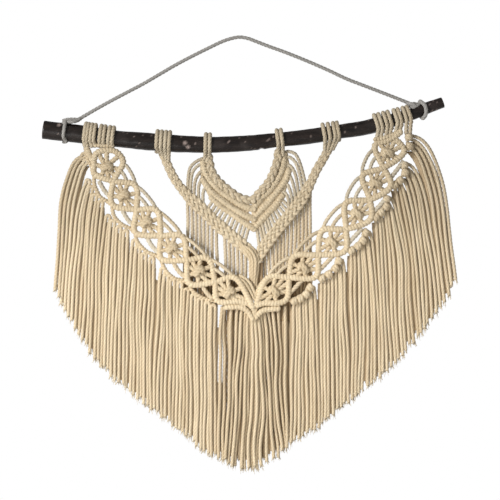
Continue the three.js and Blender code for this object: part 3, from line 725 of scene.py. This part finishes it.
def shade(skein, start, stop, lowest, highest, short):
    """The cords behind the tip, darkened as painted shade, most at the top."""
    for x in np.arange(start, stop, SHADE_STEP):
        top = min(lowest + SHADE_SLOPE * abs(x - SHADE_X), highest)
        end, below = GAP_ENDS if SHADE_GAP[0] < x < SHADE_GAP[1] else SHADE_ENDS
        for high, low, painted_shade in ((top, end, 0.62), (below, hem(x) + 8, 0.3)):
            line = spline([(x, 3.2, high), (x, 3.6, (high + low) / 2), (x, 3.4, low)], 3.0)
            sway(line, 0.4)
            skein.cord(line, sides=6, groove=1, painted_shade=painted_shade)
    for x in short:
        line = spline([(x, 2.6, -250), (x, 3.0, -304)], 2.0)
        skein.cord(line, sides=6, groove=1, painted_shade=0.6)


# ---- materials ----

WHITE = (1, 1, 1, 1)
# painted shade: the brown that cords deep among others are tinted to
SHADE_BROWN = (0.2, 0.095, 0.02, 1)  # of cords deep in the shade


class Nodes:
    """A short way to write a material's node tree."""

    def __init__(self, name):
        self.material = bpy.data.materials.new(name)
        self.material.use_nodes = True
        self.tree = self.material.node_tree
        self.shader = self.tree.nodes["Principled BSDF"]

    def add(self, kind, settings=None, **inputs):
        node = self.tree.nodes.new(kind)
        for key, value in (settings or {}).items():
            setattr(node, key, value)
        self.fill(node, **inputs)
        return node

    def fill(self, node, **inputs):
        """Give a node its inputs, by their names with _ for a space."""
        for key, value in inputs.items():
            self.set(node, key.replace("_", " "), value)

    def set(self, node, key, value):
        """Give a node one input, a value or a link, by its name or number."""
        socket = node.inputs[key]
        if isinstance(value, bpy.types.NodeSocket):
            self.tree.links.new(value, socket)
        else:
            socket.default_value = value

    def stored(self, name, output="Fac"):
        """What a mesh stores at its points under a name."""
        return self.add("ShaderNodeAttribute", {"attribute_name": name}).outputs[output]

    def maths(self, operation, a, b, c=0.0):
        node = self.add("ShaderNodeMath", {"operation": operation})
        for k, value in enumerate((a, b, c)):
            self.set(node, k, value)
        return node.outputs[0]

    def mix(self, factor, a, b, blend="MIX"):
        node = self.add("ShaderNodeMix", {"data_type": "RGBA", "blend_type": blend})
        for k, value in ((0, factor), (6, a), (7, b)):
            self.set(node, k, value)
        return node.outputs[2]

    def ramp(self, value, stops):
        node = self.add("ShaderNodeValToRGB")
        self.set(node, 0, value)
        ramp = node.color_ramp
        for k, (place, colour) in enumerate(stops):
            stop = ramp.elements[k] if k < 2 else ramp.elements.new(place)
            stop.position = place
            stop.color = (*colour, 1)
        return node.outputs[0]


def cord_material(name, warm, cool, dark):
    """Twisted cotton, with fine fibres along the cord.

    warm and cool are its colours where pale is 0 and 1, and dark tints its darkest places. It is
    darkened as painted shade in the grooves, in its upper part and on cords marked for it.
    """
    m = Nodes(name)
    fibre = m.stored("fibre", "Vector")
    tone, pale = m.stored("tone"), m.stored("pale")
    stretch = m.add("ShaderNodeMapping", Vector=fibre, Scale=(3.2, 3.2, 0.5),
                    Rotation=(0.35, 0.2, 0))
    fine = m.add("ShaderNodeTexNoise", Vector=stretch.outputs[0], Scale=1.3, Detail=3.0,
                 Roughness=0.65)
    place = m.add("ShaderNodeTexCoord").outputs["Object"]
    broad = m.add("ShaderNodeTexNoise", Vector=place, Scale=38.0, Detail=2.0)
    colour = m.mix(pale, (*warm, 1), (*cool, 1))

    # how light a place is: by its cord, its fibre and its part of the piece, and less in a groove,
    # as painted shade
    grain = m.maths("MULTIPLY_ADD", fine.outputs["Fac"], 0.5, 0.5)
    each = m.maths("MULTIPLY_ADD", tone, 0.045, 0.345)
    level = m.maths("ADD", m.maths("MULTIPLY", grain, 0.55), each)
    level = m.maths("ADD", level, m.maths("MULTIPLY", broad.outputs["Fac"], 0.22))
    level = m.maths("SUBTRACT", level, m.maths("MULTIPLY", m.stored("groove"), 0.26))
    worn = m.mix(1.0, colour, m.ramp(level, [(0.3, dark), (0.95, WHITE[:3])]), "MULTIPLY")

    # painted shade: the upper part is darker, by its height in metres
    height = m.add("ShaderNodeSeparateXYZ", Vector=place)
    top_shade = m.add("ShaderNodeMapRange", {"interpolation_type": "SMOOTHSTEP"},
                 Value=height.outputs["Z"], From_Min=-0.29, From_Max=-0.1, To_Min=1.0, To_Max=0.67)
    lit = m.mix(1.0, worn, top_shade.outputs["Result"], "MULTIPLY")

    bump = m.add("ShaderNodeBump", Strength=0.5, Distance=0.0004, Height=fine.outputs["Fac"])
    # painted shade: a cord marked for it is mixed towards brown
    m.fill(m.shader, Base_Color=m.mix(m.stored("painted_shade"), lit, SHADE_BROWN), Normal=bump.outputs[0],
           Roughness=0.92, Specular_IOR_Level=0.15, Sheen_Weight=0.15, Sheen_Roughness=0.5,
           Sheen_Tint=(1.0, 0.9, 0.72, 1))
    return m.material


def bark_material():
    """Dark bark with a soft gloss, greyer in patches and pale where it is scarred."""
    m = Nodes("bark")
    place = m.add("ShaderNodeTexCoord").outputs["Object"]
    stretch = m.add("ShaderNodeMapping", Vector=place, Scale=(60, 260, 260))
    grain = m.add("ShaderNodeTexNoise", Vector=stretch.outputs[0], Scale=1.0, Detail=5.0,
                  Roughness=0.6)
    cloud = m.add("ShaderNodeTexNoise", Vector=place, Scale=45.0, Detail=2.0)
    bark = m.ramp(grain.outputs["Fac"],
                  [(0.3, (0.0045, 0.003, 0.0025)), (0.75, (0.021, 0.014, 0.011))])
    patches = m.ramp(cloud.outputs["Fac"], [(0.5, (0, 0, 0)), (0.7, (0.5, 0.5, 0.5))])
    worn = m.mix(patches, bark, (0.04, 0.032, 0.029, 1))
    bump = m.add("ShaderNodeBump", Strength=0.35, Distance=0.0006, Height=grain.outputs["Fac"])
    m.fill(m.shader, Base_Color=m.mix(m.stored("scar"), worn, (0.32, 0.25, 0.22, 1)),
           Normal=bump.outputs[0], Roughness=0.3, Specular_IOR_Level=0.28)
    return m.material


# ---- the branch ----

SCARS = [  # x, z, reach, paleness
    (-61.5, -116.8, 2.6, 0.75), (-58, -121.3, 2.4, 0.7), (-202, -96.5, 2.2, 0.7),
    (-196, -105, 1.2, 0.5)]
SPOTS = 150
NOTCH_X, NOTCH_Z = 24, -124  # on the underside


def scarred(p, front):
    """How pale the bark's scars on its front are at a point."""
    pale = 0.0
    if front:
        for x, z, size, amount in SCARS:
            d = math.hypot(p[0] - x, p[2] - z) / size
            pale = max(pale, amount * max(0.0, 1.2 - d * d))
    return pale


def branch_object():
    """The branch with its bark: slightly uneven, with small pale spots, a notch and sawn ends."""
    spine = spline(np.column_stack([BRANCH[:, 0], np.zeros(len(BRANCH)), BRANCH[:, 1]]), 1.6)
    radius = np.interp(spine[:, 0], BRANCH[:, 0], BRANCH[:, 2])
    n, sides = len(spine), 44
    run = unit(np.gradient(spine, axis=0))
    up = unit(np.cross(run, FRONT))
    up *= np.sign(up[:, 2:3])
    angle = np.arange(sides) * 2 * math.pi / sides
    verts, scar = [], []
    spots = [(random.uniform(-215, 222), random.uniform(0, 2 * math.pi), random.uniform(0.5, 1.0))
             for _ in range(SPOTS)]
    spot_x = np.array([spot[0] for spot in spots])
    for i in range(n):
        for a in angle:
            side = FRONT * math.cos(a) + up[i] * math.sin(a)
            probe = Vector((spine[i, 0] * 0.035, math.cos(a) * 1.1, math.sin(a) * 1.1))
            rough = 0.55 * noise.noise(probe) + 0.22 * noise.noise(probe * 4.0)
            reach = radius[i] * (1 + 0.035 * math.cos(2 * a + 1)) + rough - 0.25
            p = spine[i] + side * reach
            pale = scarred(p, side[1] < 0)
            for k in np.nonzero(np.abs(spot_x - p[0]) < 2)[0]:
                x, at, amount = spots[k]
                arc = (a - at + math.pi) % (2 * math.pi) - math.pi
                if math.hypot((p[0] - x) / 0.9, arc * radius[i] / 1.3) < 1:
                    pale = max(pale, 0.5 * amount)
            notch = math.hypot((p[0] - NOTCH_X) / 3.0, (p[2] - NOTCH_Z) / 2.2)
            if notch < 1:
                p = p - side * 1.3 * (1 - notch * notch)
                pale = max(pale, 0.25)
            verts.append(p)
            scar.append(min(pale, 1.0))
    faces = []
    for ring in range(0, (n - 1) * sides, sides):
        for j in range(sides):
            k = (j + 1) % sides
            faces.append([ring + j, ring + sides + j, ring + sides + k, ring + k])

    # each sawn end: two smaller rings and a point
    rim = len(verts)
    for i, way in ((0, -1), (n - 1, 1)):
        for share, push, pale in ((0.86, 0.5, 0.55), (0.45, 0.7, 0.75)):
            for a in angle:
                side = FRONT * math.cos(a) + up[i] * math.sin(a)
                verts.append(spine[i] + side * radius[i] * share + run[i] * way * push)
                scar.append(pale)
        verts.append(spine[i] + run[i] * way * 0.7)
        scar.append(0.8)
    for ring, base, flip in ((0, rim, True), ((n - 1) * sides, rim + 2 * sides + 1, False)):
        for j in range(sides):
            k = (j + 1) % sides
            for face in ([ring + j, base + j, base + k, ring + k],
                         [base + j, base + sides + j, base + sides + k, base + k],
                         [base + sides + j, base + 2 * sides, base + sides + k]):
                faces.append(face[::-1] if flip else face)

    mesh = bpy.data.meshes.new("branch_bark")
    mesh.from_pydata([tuple(v * MM) for v in np.array(verts)], [], faces)
    values = mesh.attributes.new("scar", "FLOAT", "POINT").data
    values.foreach_set("value", np.array(scar, np.float32))
    mesh.polygons.foreach_set("use_smooth", np.ones(len(mesh.polygons), bool))
    piece("branch_bark", mesh, bark_material(), "branch")


# ---- the whole piece ----

cotton = cord_material("cotton", (0.75, 0.62, 0.425), (0.69, 0.62, 0.49), (0.60, 0.52, 0.42))
# the hanger's cord is the same cotton, and its grey is painted shade
grey_cord = cord_material("grey_cord", (0.44, 0.42, 0.39), (0.50, 0.48, 0.45), (0.5, 0.5, 0.5))

hanger = Skein()
hanger_path = spline(at_depth(HANGER, 0.0), 1.2)
hanger.cord(hanger_path, HANGER_RADIUS, groove=0.8)
hanger_object = hanger.object("hanger_rope", grey_cord, "hanger_cord", "hanger_cord")

branch_object()

# On the left the hanger goes once round the branch, and three strands lie along the top, a little
# darker as painted shade.
hitch = Skein()
over_branch(hitch, -196.4, (-193.5, -116), -6, 2.2, pale=0.4)
for y, high in ((-5.0, -93.4), (-1.5, -90.4), (2.8, -91.4)):
    line = [(-198.5, y * 0.7, high - 1.5), (-194, y, high), (-187, y * 1.1, high + 0.4),
            (-182, y * 0.6, (high - 90) / 2), (-178.5, 0, -89.0)]
    hitch.cord(spline(line, 1.2), 2.15, pale=0.5, tone=-0.8)
hitch.object("hitch_left_cord", grey_cord, "hanger_cord", "hitch_left")

# On the right it goes once round the branch too, and then round itself.
hitch = Skein()
z, reach = branch_at(204)
around = [(203, reach + 1, z + 2), (201.5, 2, z + reach + 2.2), (203, -5, z + reach + 1.5),
          (206.6, -reach - 1.4, z + 4.5), (207.9, -reach - 2, z - 1.5),
          (207.2, -reach - 0.5, z - 6), (205, -3, z - reach - 2.2), (203, reach - 2, z - reach)]
wraps = [(187.5, 0, -71.4), (191, -3.4, -72.8), (196, -3.0, -74), (199, 1.4, -73.2),
         (195, 3.4, -72.4), (191, 0.6, -74.2), (193.5, -3.6, -76.6), (198.5, -2.4, -74.6),
         (203.6, 0.5, -71)]
hitch.cord(spline(around, 1.1), 2.4, pale=0.6)
hitch.cord(spline(wraps, 1.0), 2.3, pale=0.6)
hitch.object("hitch_right_cord", grey_cord, "hanger_cord", "hitch_right")


def cotton_piece(skein, name, node=None):
    """The cords so far, for the node of the same name or the one given."""
    skein.object(f"{name}_cords", cotton, "cotton_cord", node or name)


def heads(skein, cords, sign, y):
    """The cords over the branch on the side that sign says."""
    for x, land_x, land_z in cords:
        if x * sign > 0:
            over_branch(skein, x, (land_x, land_z), y)


def bundle(skein):
    """The four cords in which the left braid goes on, down to the arms' tip."""
    for dx, dy, end in ((-4.2, 0, 4), (-1.5, -2.0, 10), (1.5, -2.2, 15.5), (4.0, -0.4, 19)):
        line = [(2 + dx, dy - 0.6, -230 - dx), (10 + dx * 0.7, dy - 1.6, -236.5 + dx * 0.7),
                (SEAM_X + dx, dy - 1.2, -246 + dx * 0.4), (15.8 + dx, dy - 0.6, -258),
                (15 + dx * 0.8, dy * 0.5, -270), (end, 0, -289)]
        skein.cord(spline(line, 1.6), 2.35)


for side, shape in (("left", LEFT_ARM), ("right", RIGHT_ARM)):
    skein = Skein()
    arm(skein, shape)
    heads(skein, BAND_CORDS, shape.outward, BAND_Y + 0.5)
    cotton_piece(skein, f"arm_{side}")

for side, strips, (neck, flat), arches, back, sign in (
        ("left", CHEVRON_LEFT, BRAID_LEFT, ARCHES_LEFT, BACK_LEFT, -1),
        ("right", CHEVRON_RIGHT, BRAID_RIGHT, ARCHES_RIGHT, BACK_RIGHT, 1)):
    skein = Skein()
    chevron(skein, strips, flat, sign, arches)
    heads(skein, CHEVRON_CORDS, sign, PANEL_Y - 1)
    cotton_piece(skein, f"chevron_{side}")

    skein = Skein()
    whole = spline(at_depth(neck + flat[1:], PANEL_Y), 0.9)
    s = lengths(whole)
    width = np.interp(s / s[-1], [0, 0.3, 0.42, 1], [2.8, 3.2, 5.2, 5.0])
    plait(skein, whole, 5, width, 1.1, 38, 2.45, pale=0.2)
    heads(skein, BRAID_CORDS, sign, PANEL_Y - 1)
    if side == "left":
        bundle(skein)
    cotton_piece(skein, f"braid_{side}")

    skein = Skein()
    back_fringe(skein, flat, *back)
    cotton_piece(skein, f"back_fringe_{side}")

for side, shades in (("left", SHADE_LEFT), ("right", SHADE_RIGHT)):
    skein = Skein()
    shade(skein, *shades)
    cotton_piece(skein, f"shade_{side}", f"back_fringe_{side}")

for side, groups, (start, stop) in (("left", FRINGE_LEFT, SPAN_LEFT),
                                    ("right", FRINGE_RIGHT, SPAN_RIGHT)):
    skein = Skein()
    fringe(skein, groups, start, stop)
    under_layer(skein, groups, start * 0.985, stop)
    cotton_piece(skein, f"fringe_{side}")

skein = Skein()
fan(skein)
cotton_piece(skein, "fringe_centre")

# ---- the studio ----

LAMP_AIM = (0.011, 0, -0.25)  # metres, as the lamps' places and the floor are
FRONT_SKY, BACK_SKY = 0.47, 0.18  # how strongly the world lights the front and the back


def lamp(name, place, size, power):
    """A round soft lamp, pointed at the middle of the piece."""
    light = bpy.data.lights.new(name, "AREA")
    light.shape = "DISK"
    light.size = size
    light.energy = power
    made = placed(name, light)
    made.location = place
    aim = Vector(LAMP_AIM) - Vector(place)
    made.rotation_euler = aim.to_track_quat("-Z", "Y").to_euler()


lamp("key", (-1.9, -2.0, 0.6), 0.6, 66)
lamp("low_fill", (-1.0, -1.9, -0.8), 0.8, 14)
lamp("back_fill", (1.6, 2.6, 0.5), 1.6, 34)

# The world looks white to the camera, and lights the piece more from the front than from behind.
world = bpy.data.worlds.new("studio")
bpy.context.scene.world = world
world.use_nodes = True
sky = world.node_tree
background = sky.nodes["Background"]
background.inputs["Color"].default_value = WHITE
seen_ray = sky.nodes.new("ShaderNodeLightPath")
level = sky.nodes.new("ShaderNodeMapRange")
level.inputs["To Max"].default_value = 1.0
sky.links.new(seen_ray.outputs["Is Camera Ray"], level.inputs["Value"])
sky.links.new(level.outputs["Result"], background.inputs["Strength"])
around = sky.nodes.new("ShaderNodeTexCoord")
split = sky.nodes.new("ShaderNodeSeparateXYZ")
soft = sky.nodes.new("ShaderNodeMapRange")
for key, value in (("From Min", -0.6), ("From Max", 0.6),
                   ("To Min", FRONT_SKY), ("To Max", BACK_SKY)):
    soft.inputs[key].default_value = value
sky.links.new(around.outputs["Generated"], split.inputs["Vector"])
sky.links.new(split.outputs["Y"], soft.inputs["Value"])
sky.links.new(soft.outputs["Result"], level.inputs["To Min"])
bpy.context.scene.view_settings.view_transform = "Standard"

floor_mesh = bpy.data.meshes.new("floor")
floor_mesh.from_pydata([(-3, -3, -1), (3, -3, -1), (3, 3, -1), (-3, 3, -1)], [], [(0, 1, 2, 3)])
floor = placed("floor", floor_mesh)
paint = bpy.data.materials.new("floor_paint")
paint.use_nodes = True
paint.node_tree.nodes["Principled BSDF"].inputs["Base Color"].default_value = (0.85, 0.85, 0.84, 1)
floor_mesh.materials.append(paint)
